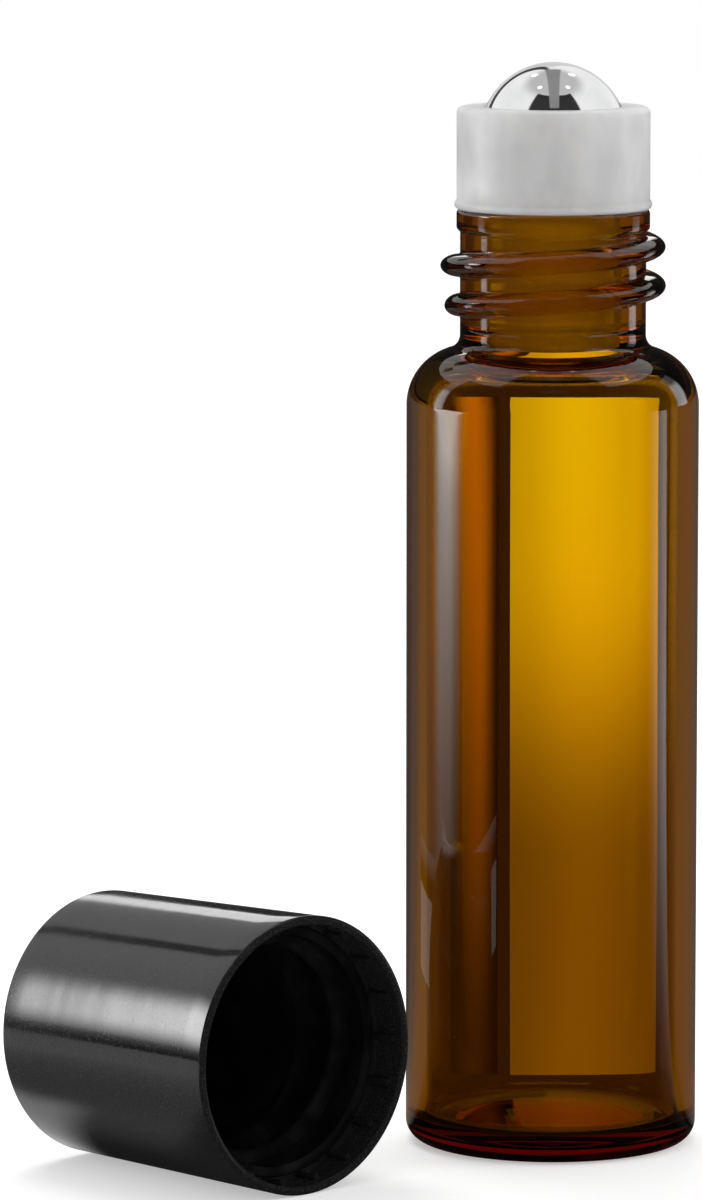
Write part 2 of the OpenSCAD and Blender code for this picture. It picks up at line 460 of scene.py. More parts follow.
@dataclass(frozen=True)
class AmberGlass:
    """Polished amber glass of drawn tube, with faint draw lines and a few seeds."""

    pale: Colour = (0.985, 0.955, 0.86, 1)
    deep: Colour = (0.97, 0.92, 0.78, 1)
    through: Colour = (0.976, 0.902, 0.0, 1)
    strength: float = 2700.0

    def build(self, nodes: Nodes) -> tuple[dict, dict | None]:
        """Gives the inputs of the shader and of the absorbing filling."""
        lines = nodes.noise(nodes.place((1, 1, 0.012)), 1500, 2)
        waves = nodes.noise(nodes.place((1, 1, 0.35)), 130, 1)
        smears = nodes.noise(nodes.place(), 240, 3)
        _, _, up = nodes.split(nodes.place())
        cells = {"Vector": nodes.place((1, 1, 0.6)), "Scale": 300.0}
        seeds = 1 - nodes.value("ShaderNodeTexVoronoi", "Distance", cells).rise(0.02, 0.06)
        seeds = seeds * nodes.noise(nodes.place(), 90, 1).rise(0.56, 0.6)
        height = lines * 0.25 + waves * (up.rise(0.054, 0.058) * 3.0 + 1.0) + seeds * 2.0
        surface = {
            "Base Color": nodes.mix(waves.rise(0.3, 0.7), self.pale, self.deep),
            "Roughness": smears.rise(0.45, 0.8) * 0.025 + seeds * 0.3 + 0.004,
            "IOR": 1.51,
            "Transmission Weight": 1.0,
            "Normal": nodes.bump(height, 0.12, 0.05),
        }
        return surface, {"Color": self.through, "Density": self.strength}


@dataclass(frozen=True)
class MilkyPlastic:
    """Translucent natural plastic, softly shaded, with faint flow marks."""

    pale: Colour = (0.97, 0.97, 0.97, 1)
    deep: Colour = (0.80, 0.80, 0.805, 1)

    def build(self, nodes: Nodes) -> tuple[dict, dict | None]:
        """Gives the inputs of the shader."""
        flow = nodes.noise(nodes.place((1, 1, 0.55)), 230, 3, 0.6)
        grain = nodes.noise(nodes.place(), 5200, 2)
        surface = {
            "Base Color": nodes.mix(flow.rise(0.3, 0.7), self.deep, self.pale),
            "Roughness": flow * 0.16 + 0.28,
            "IOR": 1.5,
            "Transmission Weight": 0.3,
            "Subsurface Weight": 0.8,
            "Subsurface Radius": (1.0, 1.0, 0.95),
            "Subsurface Scale": 1.6 * MM,
            "Normal": nodes.bump(flow + grain * 0.12, 0.25, 0.03),
        }
        return surface, None


@dataclass(frozen=True)
class PolishedSteel:
    """Mirror polished steel with the faintest hairlines."""

    bright: Colour = (0.82, 0.82, 0.825, 1)
    dull: Colour = (0.74, 0.745, 0.75, 1)

    def build(self, nodes: Nodes) -> tuple[dict, dict | None]:
        """Gives the inputs of the shader."""
        film = nodes.noise(nodes.place(), 420, 3)
        hairs = nodes.noise(nodes.place((0.04, 1, 1), 27), 9000, 1)
        surface = {
            "Base Color": nodes.mix(film.rise(0.35, 0.7), self.bright, self.dull),
            "Metallic": 1.0,
            "Roughness": film * 0.04 + hairs.rise(0.62, 0.8) * 0.05 + 0.03,
            "Normal": nodes.bump(hairs, 0.05, 0.01),
        }
        return surface, None


@dataclass(frozen=True)
class GlossBlack:
    """Glossy black moulded plastic, a little wavy where it shrank on its inner ribs.

    Its outside is told from its inside by the distance from the axis of the lying cap, which
    is at axis_x and axis_z, in metres.
    """

    deep: Colour = (0.010, 0.010, 0.0103, 1)
    dusty: Colour = (0.034, 0.034, 0.0345, 1)
    axis_x: float = -0.0255
    axis_z: float = 0.0094

    def build(self, nodes: Nodes) -> tuple[dict, dict | None]:
        """Gives the inputs of the shader."""
        sink = nodes.noise(nodes.place((0.15, 1.5, 0.15)), 240, 1)
        peel = nodes.noise(nodes.place(), 1500, 2)
        dust = nodes.noise(nodes.place(), 7500, 2, 0.7)
        across, along, up = nodes.split(nodes.place())
        across, up = across - self.axis_x, up - self.axis_z
        outside = (across * across + up * up).maths("SQRT").rise(0.0085, 0.0089) * 0.85 + 0.15
        height = (sink * (along.rise(0.0, 0.016) * 0.7 + 0.4) + peel * 0.06 + dust * 0.03) * outside
        rough = peel * 0.04 + dust.rise(0.5, 0.75) * 0.12
        surface = {
            "Base Color": nodes.mix(dust.rise(0.5, 0.74) * outside, self.deep, self.dusty),
            "Roughness": rough + along.rise(0.002, 0.018) * 0.08 + 0.045,
            "IOR": 1.5,
            "Normal": nodes.bump(height, 0.4, 0.05),
        }
        return surface, None


@dataclass(frozen=True)
class SatinBlack:
    """Satin black moulded plastic of the threaded sleeve, with fine turning marks."""

    deep: Colour = (0.004, 0.004, 0.0043, 1)
    worn: Colour = (0.012, 0.012, 0.0125, 1)
    shine: float = 0.22

    def build(self, nodes: Nodes) -> tuple[dict, dict | None]:
        """Gives the inputs of the shader."""
        cloud = nodes.noise(nodes.place(), 480, 3)
        marks = nodes.noise(nodes.place((1, 12, 1)), 700, 2)
        surface = {
            "Base Color": nodes.mix(cloud.rise(0.4, 0.75), self.deep, self.worn),
            "Roughness": cloud * 0.15 + self.shine,
            "IOR": 1.5,
            "Specular IOR Level": 0.3,
            "Normal": nodes.bump(marks + cloud * 0.4, 0.3, 0.03),
        }
        return surface, None


@dataclass(frozen=True)
class SoftSeal:
    """Matt black foam of the sealing disc, with a fine open grain."""

    deep: Colour = (0.018, 0.018, 0.019, 1)
    pale: Colour = (0.055, 0.055, 0.057, 1)

    def build(self, nodes: Nodes) -> tuple[dict, dict | None]:
        """Gives the inputs of the shader."""
        cells = nodes.noise(nodes.place(), 6400, 3, 0.6)
        surface = {
            "Base Color": nodes.mix(cells.rise(0.4, 0.7), self.deep, self.pale),
            "Roughness": cells * 0.2 + 0.65,
            "Normal": nodes.bump(cells, 0.5, 0.08),
        }
        return surface, None


# ---------------------------------------------------------------- the bottle


@dataclass
class GlassBottle:
    """The amber glass bottle: body, shoulder, neck with its screw thread, and finish."""

    body: float = 10.0
    side: float = 51.0
    wall: float = 1.4
    base: float = 1.8
    heel: float = 1.5
    shoulder: float = 4.0
    hollow: float = 6.5
    hollow_rise: float = 0.6
    neck: float = 6.35
    neck_rise: float = 9.4
    root: float = 1.0
    bore: float = 4.7
    finish: float = 6.6
    finish_rise: float = 1.3
    rim_round: float = 0.3
    throat: float = 1.0
    floor_round: float = 0.8
    sides: int = 192
    thread: Thread = field(default_factory=lambda: Thread(
        root=6.35, stand=1.35, width=1.6, turns=1.68, pitch=PITCH, low=THREAD_LOW,
        start=THREAD_START, bottom=56.4, top=62.8,
    ))

    @property
    def rim(self) -> float:
        """Height of the rim."""
        return self.side + self.shoulder + self.neck_rise

    def dome(self) -> tuple[float, float]:
        """Gives the radius of the hollow's sphere and the angle that it spans, in degrees."""
        radius = (self.hollow**2 + self.hollow_rise**2) / (2 * self.hollow_rise)
        return radius, math.degrees(math.asin(self.hollow / radius))

    def lower_outside(self) -> list[Point]:
        """Gives the outline from the middle of the base to the foot of the threaded wall."""
        radius, span = self.dome()
        run = self.neck + self.root - (self.body - self.shoulder)
        rise = math.sqrt((self.shoulder + self.root) ** 2 - run**2)
        angle = math.degrees(math.atan2(rise, run))
        foot = [
            *arc((0, self.hollow_rise - radius), radius, 90, 90 - span, 16),
            (self.body - self.heel, 0),
        ]
        return [
            *eased(foot, 0.5),
            *arc((self.body - self.heel, self.heel), self.heel, -80, 0, 12),
            *[(self.body, self.side * i / 8) for i in range(1, 8)],
            *arc((self.body - self.shoulder, self.side), self.shoulder, 0, angle, 20),
            *arc((self.neck + self.root, self.side + rise), self.root, angle + 180, 180, 10)[1:],
            (self.neck, self.thread.bottom),
        ]

    def upper_and_inside(self) -> list[Point]:
        """Gives the outline from the top of the threaded wall, over the rim, to the floor."""
        radius, span = self.dome()
        rim, inner, top = self.rim, self.body - self.wall, self.side + self.shoulder
        step = [
            (self.neck, self.thread.top), (self.neck, rim - self.finish_rise - 0.25),
            (self.finish, rim - self.finish_rise), (self.finish, rim - self.rim_round),
        ]
        return [
            *eased(step, 0.3),
            *arc((self.finish - self.rim_round, rim - self.rim_round), self.rim_round, 10, 90, 6),
            *arc((self.bore + self.rim_round, rim - self.rim_round), self.rim_round, 90, 180, 6),
            (self.bore, (rim + top) / 2),
            *arc((self.bore + self.throat, top - self.wall + self.throat), self.throat, 180, 270, 10),
            *arc((self.body - self.shoulder, self.side), self.shoulder - self.wall, 90, 0, 16),
            *[(inner, self.side - (self.side - 5) * i / 8) for i in range(1, 8)],
            *arc((inner - self.floor_round, self.base + self.floor_round), self.floor_round, 0, -90, 14),
            *arc((0, self.base + self.hollow_rise - radius), radius, 90 - span, 90, 16),
        ]

    def build(self) -> bpy.types.Object:
        """Builds the glass as one closed surface, outside and inside."""
        glass = joined([
            turned("amber_bottle", self.lower_outside(), self.sides),
            self.thread.wall("amber_thread", self.sides),
            turned("amber_inside", self.upper_and_inside(), self.sides),
        ])
        closed_up(glass)
        glass.data.materials.append(finished("amber_glass", AmberGlass().build))
        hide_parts("bottle_glass")
        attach(glass, "bottle")
        return glass


@dataclass
class BallFitment:
    """The milky housing pressed into the neck, and the steel ball in it."""

    rim: float = 64.4
    ring: float = 6.6
    ring_rise: float = 7.0
    ring_round: float = 0.45
    foot: float = 0.35
    foot_out: float = 0.15
    plug: float = 4.6
    plug_foot: float = 4.5
    plug_wall: float = 1.1
    plug_depth: float = 10.0
    plug_taper: float = 0.8
    rib: float = 0.4
    rib_out: float = 0.14
    ribs: int = 3
    feed: float = 2.2
    web: float = 1.0
    ball: float = 5.0
    gap: float = 0.06
    proud: float = 3.0
    sides: int = 160

    @property
    def ball_height(self) -> float:
        """Height of the ball's centre."""
        return self.rim + self.ring_rise + self.proud - self.ball

    def housing_outline(self) -> list[Point]:
        """Gives the closed outline of the housing."""
        low, top, seat = self.rim - self.plug_depth, self.rim + self.ring_rise, self.ball + self.gap
        web, bore = self.ball_height - seat - self.web, self.plug - self.plug_wall
        mouth = math.degrees(math.asin((top - self.ball_height) / seat))
        hole = -math.degrees(math.acos(self.feed / seat))
        corners = [
            (self.feed, web), (bore, web), (bore, low), (self.plug_foot, low),
            (self.plug, low + self.plug_taper),
        ]
        step = (self.plug_depth - self.plug_taper) / self.ribs
        centre = self.plug + self.rib_out - self.rib
        lean = math.degrees(math.acos((self.plug - centre) / self.rib))
        ribs = [
            point
            for i in range(self.ribs)
            for point in arc((centre, low + self.plug_taper + step * (i + 0.5)), self.rib, -lean, lean, 6)
        ]
        bead = self.ring + self.foot_out - self.foot
        rise = math.degrees(math.acos((self.ring - bead) / self.foot))
        return [
            *eased(corners, 0.15),
            *ribs,
            (self.plug, self.rim),
            *arc((bead, self.rim + self.foot), self.foot, -90, rise, 10),
            (self.ring, (self.rim + top) / 2),
            *arc((self.ring - self.ring_round, top - self.ring_round), self.ring_round, 0, 90, 8),
            *eased([
                (self.ring - self.ring_round, top),
                *arc((0, self.ball_height), seat, mouth, hole, 28),
            ], 0.18)[1:],
        ]

    def build_housing(self) -> bpy.types.Object:
        """Builds the housing."""
        housing = turned("ball_housing", self.housing_outline(), self.sides, loop=True)
        closed_up(housing)
        housing.data.materials.append(finished("milky_plastic", MilkyPlastic().build))
        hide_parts("roller_housing")
        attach(housing, "bottle")
        return housing

    def build_ball(self) -> bpy.types.Object:
        """Builds the ball."""
        ball = turned("steel_ball", arc((0, self.ball_height), self.ball, -90, 90, 64), self.sides)
        closed_up(ball)
        ball.data.materials.append(finished("polished_steel", PolishedSteel().build))
        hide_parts("roller_ball")
        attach(ball, "ball")
        return ball


# ---------------------------------------------------------------- the cap


@dataclass
class ScrewCap:
    """The cap that lies next to the bottle: glossy shell, threaded sleeve and sealing disc."""

    mouth: float = 9.39
    end: float = 8.99
    side: float = 20.9
    dome: float = 1.7
    mouth_round: float = 0.22
    end_round: float = 0.4
    shell: float = 0.85
    lip: float = 0.6
    lip_rise: float = 2.6
    floor: float = 20.1
    ribs: int = 18
    rib_width: float = 0.5
    rib_stand: float = 0.3
    rib_low: float = 0.75
    sleeve_gap: float = 0.05
    sleeve_high: float = 20.05
    sleeve_root: float = 7.82
    sleeve_bore: float = 6.95
    sleeve_edge: float = 0.25
    disc_low: float = 18.85
    disc_high: float = 19.45
    disc_slack: float = 0.1
    ridge_width: float = 1.15
    ridge_turns: float = 1.2
    closed: float = 55.6
    lies_at: Point = (-25.5, -3.0)
    sides: int = 192

    @property
    def tilt(self) -> float:
        """Angle between the cap's side and its axis, in degrees."""
        return math.degrees(math.atan((self.mouth - self.end) / self.side))

    def radius(self, height: float) -> float:
        """Gives the outer radius at a height above the mouth."""
        return self.mouth - (self.mouth - self.end) / self.side * height

    def laid_down(self, piece: bpy.types.Object) -> None:
        """Lays a piece on its side at the cap's place, and puts the place in its mesh."""
        tilt = math.radians(self.tilt)
        piece.location = (self.lies_at[0] * MM, self.lies_at[1] * MM, self.mouth * math.cos(tilt) * MM)
        piece.rotation_euler = (-math.pi / 2 - tilt, 0, 0)
        only(piece)
        bpy.ops.object.transform_apply(location=True, rotation=True, scale=True)

    def shell_outline(self) -> list[Point]:
        """Gives the outline of the shell, from the inner edge of its mouth round to its floor."""
        tilt = math.radians(self.tilt)
        mouth_x = self.radius(self.mouth_round) - self.mouth_round / math.cos(tilt)
        end_y = self.side - self.end_round
        end_x = self.radius(end_y) - self.end_round / math.cos(tilt)
        top = self.side + self.dome
        dome = (end_x**2 + (top - end_y) ** 2 - self.end_round**2) / (2 * (top - end_y - self.end_round))
        lean = math.degrees(math.atan2(end_y - top + dome, end_x))
        inside = [
            (0.0, self.floor), (self.radius(self.floor) - self.shell, self.floor),
            (self.radius(self.lip_rise) - self.shell, self.lip_rise),
            (self.radius(self.lip_rise) - self.lip, self.lip_rise),
            (self.radius(0) - self.lip, 0.12), (self.radius(0) - self.lip + 0.12, 0.0),
        ]
        return [
            *arc((mouth_x, self.mouth_round), self.mouth_round, -90, self.tilt, 8),
            *[(self.radius(h), h) for h in (2, 5, 8, 11, 14, 17, 19)],
            *arc((end_x, end_y), self.end_round, self.tilt, lean, 8),
            *arc((0, top - dome), dome, lean, 90, 28)[1:],
            *eased(inside, 0.06, 3),
        ]

    def rib(self) -> bpy.types.Object:
        """Builds one of the short ribs in the lip, at +X."""
        inner = self.radius(self.rib_low) - self.lip - self.rib_stand
        deep, high = self.rib_stand + 0.15, self.lip_rise - self.rib_low + 0.15
        bpy.ops.object.select_all(action="DESELECT")
        bpy.ops.mesh.primitive_cube_add(size=1)
        rib = bpy.context.active_object
        rib.name = rib.data.name = "lip_rib"
        bpy.ops.object.mode_set(mode="EDIT")
        bpy.ops.mesh.select_all(action="SELECT")
        bpy.ops.transform.resize(value=(deep * MM, self.rib_width * MM, high * MM))
        bpy.ops.transform.translate(
            value=((inner + deep / 2) * MM, 0, (self.rib_low + high / 2) * MM)
        )
        bpy.ops.mesh.bevel(offset=0.1 * MM, segments=3, affect="EDGES")
        bpy.ops.object.mode_set(mode="OBJECT")
        return rib

    def build_shell(self) -> bpy.types.Object:
        """Builds the glossy shell, with its ribs."""
        shell = turned("cap_outer_shell", self.shell_outline(), self.sides, loop=True)
        closed_up(shell)
        first = self.rib()
        ribs = [first]
        for i in range(1, self.ribs):
            rib = first.copy()
            rib.data = first.data.copy()
            bpy.context.collection.objects.link(rib)
            rib.data.transform(Matrix.Rotation(math.tau * i / self.ribs, 4, "Z"))
            ribs.append(rib)
        shell = joined([shell, *ribs])
        self.laid_down(shell)
        shell.data.materials.append(finished("gloss_black", GlossBlack().build))
        bpy.ops.object.shade_smooth_by_angle(angle=CREASE)
        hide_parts("cap_shell")
        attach(shell, "cap")
        return shell

    def sleeve_thread(self) -> Thread:
        """Gives the sleeve's thread, which runs between two turns of the bottle's bead."""
        width, turns = self.ridge_width, self.ridge_turns
        low = self.lip_rise + self.sleeve_edge + width / 2
        start = THREAD_START + (self.closed + low + PITCH / 2 - THREAD_LOW) / PITCH
        return Thread(
            root=self.sleeve_root, stand=self.sleeve_bore - self.sleeve_root, width=width,
            turns=turns, pitch=PITCH, low=low, start=start % 1,
            bottom=self.lip_rise + self.sleeve_edge, top=low + turns * PITCH + width, fillet=0.12,
        )

    def build_sleeve(self) -> bpy.types.Object:
        """Builds the threaded sleeve."""
        thread = self.sleeve_thread()
        room = self.shell + self.sleeve_gap
        outside = [
            (self.sleeve_root, thread.bottom),
            (self.sleeve_root + self.sleeve_edge, self.lip_rise),
            (self.radius(self.lip_rise) - room, self.lip_rise),
            (self.radius(self.sleeve_high) - room, self.sleeve_high),
            (0.0, self.sleeve_high),
        ]
        inside = [
            (0.0, self.disc_high), (self.sleeve_bore, self.disc_high),
            (self.sleeve_bore, thread.top + self.sleeve_root - self.sleeve_bore),
            (self.sleeve_root, thread.top),
        ]
        sleeve = joined([
            turned("cap_thread_sleeve", eased(outside, 0.06, 3), self.sides),
            thread.wall("cap_thread", self.sides),
            turned("cap_sleeve_inside", eased(inside, 0.1, 3), self.sides),
        ])
        closed_up(sleeve)
        self.laid_down(sleeve)
        sleeve.data.materials.append(finished("satin_black", SatinBlack().build))
        bpy.ops.object.shade_smooth_by_angle(angle=CREASE)
        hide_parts("cap_insert")
        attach(sleeve, "cap")
        return sleeve

    def build_disc(self) -> bpy.types.Object:
        """Builds the sealing disc, with a shallow print of the ball in its face."""
        edge = self.sleeve_bore - self.disc_slack
        outline = [
            (0.0, self.disc_low + 0.08), (1.2, self.disc_low + 0.05), (2.2, self.disc_low),
            (edge, self.disc_low), (edge, self.disc_high), (0.0, self.disc_high),
        ]
        disc = turned("cap_seal_disc", eased(outline, 0.12, 4, 20.0), 128)
        closed_up(disc)
        self.laid_down(disc)
        disc.data.materials.append(finished("seal_foam", SoftSeal().build))
        bpy.ops.object.shade_smooth_by_angle(angle=math.radians(40))
        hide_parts("cap_liner")
        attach(disc, "cap_seal")
        return disc


# ---------------------------------------------------------------- the studio


class Seen(Enum):
    """Which rays see a card of the studio."""

    THROUGH_GLASS = "visible_transmission"
    IN_REFLECTIONS = "visible_glossy"


RAYS = (
    "visible_camera", "visible_diffuse", "visible_glossy", "visible_transmission",
    "visible_volume_scatter", "visible_shadow",
)
Lit = tuple[object, Value | float]


def reflector(nodes: Nodes, across: Value, up: Value) -> Lit:
    """Lights a card more at its top than at its foot, and warmer at its foot."""
    warm = nodes.mix(up.rise(0.187, 0.869), (1, 0.62, 0.5, 1), (1, 0.99, 0.9, 1))
    sides = 1 - across.rise(0.35, 1.0) * 0.32 - (1 - across.rise(0.0, 0.35)) * 0.3
    return warm, (up.rise(0.292, 0.733) * 0.82 + 0.3) * sides


def strip(nodes: Nodes, across: Value, up: Value) -> Lit:
    """Lights a card as a warm strip with soft edges, which fades towards its foot."""
    soft = across.rise(0.0, 0.6) * (1 - across.rise(0.6, 1.0))
    return (1, 0.45, 0.3, 1), soft * (up.rise(0.0, 1.0) * 0.57 + 0.04) + 0.02


def veil(nodes: Nodes, across: Value, up: Value) -> Lit:
    """Lights a card white, and brighter at both its ends."""
    return WHITE, (across - 0.5).maths("ABSOLUTE").rise(0.15, 0.45) * 0.8 + 0.9


def fill(nodes: Nodes, across: Value, up: Value) -> Lit:
    """Lights a card evenly and a little warm."""
    return (1, 0.82, 0.7, 1), 1.25


def board(nodes: Nodes, across: Value, up: Value) -> Lit:
    """Lights a card grey, with a black line and a dim edge at its top."""
    return WHITE, (1 - up.rise(0.64, 0.67)) * 0.72 + up.rise(0.76, 1.0) * 0.4 + 0.01


# Each card's name, corners, rays that see it, and light. The reflector and the strip stand
# behind the bottle, the veil behind its neck, the fill far in front of it, and the low board
# to the left of the lying cap.
CARDS = (
    (
        "reflector", ((-3.0, 14.6, 1.6), (11.15, 14.6, 1.6), (15.8, 33.5, 51), (-3.4, 33.5, 51)),
        Seen.THROUGH_GLASS, reflector,
    ),
    (
        "strip", ((-9.3, 14.7, 1.6), (-4.05, 14.7, 1.6), (-4.7, 33.6, 51), (-12.5, 33.6, 51)),
        Seen.THROUGH_GLASS, strip,
    ),
    (
        "veil", ((-16, 17, 62.6), (16, 17, 62.6), (16, 17, 73), (-16, 17, 73)),
        Seen.THROUGH_GLASS, veil,
    ),
    (
        "fill", ((-60, -50, 52), (60, -50, 52), (60, -50, 120), (-60, -50, 120)),
        Seen.THROUGH_GLASS, fill,
    ),
    (
        "low_board", ((-66, -70, 0.1), (-66, 40, 0.1), (-66, 40, 10.7), (-66, -70, 10.7)),
        Seen.IN_REFLECTIONS, board,
    ),
)


@dataclass
class Studio:
    """Camera, floor, soft lamps, and the panels, cards and tents that glass and gloss show.

    Places are given as the camera sees them: to the right, away from it, and up, in mm.
    Bearings are in degrees round the bottle, 0 towards the camera and more to the right.
    """

    azimuth: float = -42.5
    camera_at: Place = (-13.79, -520.0, 103.3)
    pitch: float = 7.21
    focal_px: float = 7639.0
    image_height: int = 1200
    sensor: float = 36.0
    floor_size: float = 12.0
    shade: float = 0.75
    ball_height: float = 69.4
    tent_radius: float = 26.0
    tent_foot: float = 3.6
    neck_height: float = 59.0
    neck_depth: float = 15.0

    def turned_to_view(self) -> Matrix:
        """Gives the turn from the camera's directions to the frame's."""
        return Matrix.Rotation(math.radians(self.azimuth), 4, "Z")

    def camera(self) -> None:
        """Sets up the camera."""
        data = bpy.data.cameras.new("camera")
        data.sensor_fit = "VERTICAL"
        data.sensor_height = self.sensor
        data.lens = self.focal_px / self.image_height * self.sensor
        data.clip_start, data.clip_end = 0.01, 20.0
        eye = bpy.data.objects.new("camera", data)
        bpy.context.scene.collection.objects.link(eye)
        eye.location = self.turned_to_view() @ (Vector(self.camera_at) * MM)
        eye.rotation_euler = (math.radians(90 - self.pitch), 0, math.radians(self.azimuth))
        bpy.context.scene.camera = eye

    @staticmethod
    def path(nodes: Nodes, output: str) -> Value:
        """Gives one output of the light path."""
        return nodes.value("ShaderNodeLightPath", output)

    def mirrored(self, nodes: Nodes) -> Value:
        """Gives 1 for what a mirroring surface shows, on its own or through glass, and else 0."""
        return self.path(nodes, "Glossy Depth").maths("GREATER_THAN", 0.5) * self.straight(nodes)

    def straight(self, nodes: Nodes) -> Value:
        """Gives 1 for what is seen straight or through glass, and 0 for what lights the object."""
        return 1 - self.path(nodes, "Diffuse Depth").maths("GREATER_THAN", 0.5)

    def through(self, nodes: Nodes) -> Value:
        """Gives 1 for what is seen through glass, and else 0."""
        return self.path(nodes, "Is Transmission Ray")

    def dark_cloth_and_shade(self, nodes: Nodes, right: Value) -> tuple[bpy.types.NodeSocket, Value]:
        """Gives the colour and strength of the dark cloth behind the bottle, paler to the right. The
        floor shows it through the glass as well, where it is partly a dark backdrop and partly painted
        shade under the bottle's base.
        """
        pale = right.rise(0.0, 0.3)
        return nodes.mix(pale, (1, 0.5, 0.4, 1), (1, 1, 0.9, 1)), pale * 0.02 + 0.042

    def parts(self, nodes: Nodes, output: str) -> tuple[Value, Value, Value]:
        """Gives how far a place or direction is to the right, away and up."""
        where = nodes.add("ShaderNodeTexCoord").outputs[output]
        turn = (0, 0, math.radians(-self.azimuth))
        spin = nodes.add("ShaderNodeMapping", None, {"Vector": where, "Rotation": turn})
        return nodes.split(spin.outputs[0])

    @staticmethod
    def bearing(right: Value, away: Value) -> Value:
        """Gives the bearing of a place or direction."""
        return right.maths("ARCTAN2", away * -1.0).maths("DEGREES")

    def mirrored_floor(self, nodes: Nodes) -> tuple[Value, Value]:
        """Gives how bright the floor's white and warm marks are in mirroring surfaces."""
        right, away, _ = self.parts(nodes, "Object")
        bearing = self.bearing(right, away)
        far = (right * right + away * away).maths("SQRT")
        # Pale patches to the left of the lying cap, which its side and its foot show.
        across, along, _ = nodes.split(nodes.place())
        beside = across * -1.0
        haze = along.band(0.020, 0.028, 0.006) * beside.band(0.029, 0.034, 0.003)
        near_cap = beside.rise(0.030, 0.036) * 0.22 + beside.rise(0.037, 0.066) * 0.5
        near_cap = near_cap * (1 - beside.rise(0.104, 0.110)) * bearing.band(-90.0, -60.0, 8.0)
        # The bottle's bright streak on the left, which fades towards its foot, and that on the right.
        left = bearing.band(-95.0, -90.0, 15.0) * far.maths("MULTIPLY_ADD", 2.8, -0.10).maths(
            "MAXIMUM", 0.0).maths("POWER", 1.5) * 3.7
        side = bearing.rise(78.0, 99.0) * (1 - bearing.rise(99.0, 100.0)) * far.rise(0.0, 0.25)
        # The warm glow along the bottle's two edges.
        left_back = bearing * -1.0
        left_back = left_back.rise(101.0, 112.0) * (1 - left_back.rise(138.0, 155.0) * 0.65)
        right_back = bearing.rise(101.0, 112.0)
        warm = right_back * 0.16 + left_back * 0.25
        white = near_cap + haze + left.maths("MINIMUM", 6.0) + side * 2.3 + 0.01
        through = self.through(nodes)
        edges = (left_back * 0.09 + right_back * 0.12) * through
        return white * (1 - through * 0.65), warm * (1 - through * 0.65) + edges

    def mirrored_sky(self, nodes: Nodes) -> Value:
        """Gives how bright the panels over the floor are in mirroring surfaces."""
        right, away, up = self.parts(nodes, "Generated")
        bearing = self.bearing(right, away)
        aside, high = bearing.maths("ABSOLUTE"), up.maths("ARCSINE").maths("DEGREES")
        # A dim roof, a strip under it and two small lamps in front, which the ball's top shows.
        roof = high.rise(63.0, 67.0) * 0.15
        front = (1 - aside.rise(13.0, 15.0)) * high.rise(44.0, 46.0) * 0.12
        spots = aside.band(24.0, 36.0, 3.0) * high.band(68.0, 71.0, 1.5) * 1.4
        # A bright panel on the left, which the bottle's streak and the cap's highlight show.
        lean = bearing + high * high * 0.0115
        left = lean.rise(-102.5, -96.0) * (1 - lean.rise(-87.5, -81.0)) * 11.5
        left = left * high.rise(-1.5, 12.0) * (1 - high.rise(18.0, 31.0))
        # A white wall behind on the left, with a dark gap, which the top of the cap shows.
        wall = bearing.band(-172.0, -100.0, 3.0) * high.band(2.0, 60.0, 0.6)
        wall = wall * (1 - bearing.band(-142.0, -137.0, 2.0) * high.rise(30.0, 35.0) * 0.9)
        wall = wall * (1 - aside.rise(120.0, 170.0) * 0.45)
        back = aside.rise(168.0, 172.0) * high.band(14.0, 24.0, 0.6) * 2.2
        again = self.path(nodes, "Glossy Depth").maths("GREATER_THAN", 1.5)
        lights = (spots + left + wall + back) * (1 - again * 0.75)
        return roof.maths("MAXIMUM", front) + lights + 0.03

    def floor(self) -> None:
        """Lays the pale floor, which looks white and keeps the object's shadow."""
        bpy.ops.object.select_all(action="DESELECT")
        bpy.ops.mesh.primitive_plane_add(size=self.floor_size)
        floor = bpy.context.active_object
        floor.name = "floor"
        material = bpy.data.materials.new("floor")
        nodes = Nodes(material)
        right, _, _ = self.parts(nodes, "Object")
        matt = nodes.add("ShaderNodeBsdfDiffuse", None, {"Color": (0.8, 0.8, 0.8, 1)})
        pale = nodes.both(matt, nodes.emission(self.straight(nodes) * 0.42))
        # Through the glass the floor shows the dark cloth instead of its white: partly a dark backdrop,
        # partly painted shade under the bottle's base.
        colour, strength = self.dark_cloth_and_shade(nodes, right * 1.5)
        seen = nodes.blend(self.through(nodes), pale, nodes.emission(strength, colour))
        white, warm = self.mirrored_floor(nodes)
        marks = nodes.both(nodes.emission(white), nodes.emission(warm, (1, 0.76, 0.6, 1)))
        nodes.ends_in(nodes.blend(self.mirrored(nodes), seen, marks))
        floor.data.materials.append(material)

    def world(self) -> None:
        """Makes the surroundings: white, soft as light, and with panels in mirroring surfaces."""
        world = bpy.data.worlds.new("studio")
        bpy.context.scene.world = world
        world.cycles.sampling_method = "NONE"
        nodes = Nodes(world)
        mirrored, straight = self.mirrored(nodes), self.straight(nodes)
        right, away, _ = self.parts(nodes, "Generated")
        colour, cloth = self.dark_cloth_and_shade(nodes, right)
        behind = (away.rise(-0.25, 0.15) * 0.15 + 0.85) * self.through(nodes) * (1 - mirrored)
        shade = (away * -1.0).rise(0.3, 1.0) * -0.25 + self.shade
        plain = straight + (1 - straight) * shade
        inside = 1 - self.through(nodes) * 0.95
        strength = plain * (1 - mirrored) + self.mirrored_sky(nodes) * mirrored * inside
        white = nodes.add("ShaderNodeBackground", None, {"Color": WHITE, "Strength": strength})
        dark = nodes.add("ShaderNodeBackground", None, {"Color": colour, "Strength": cloth})
        nodes.ends_in(nodes.blend(behind, white, dark), "ShaderNodeOutputWorld")

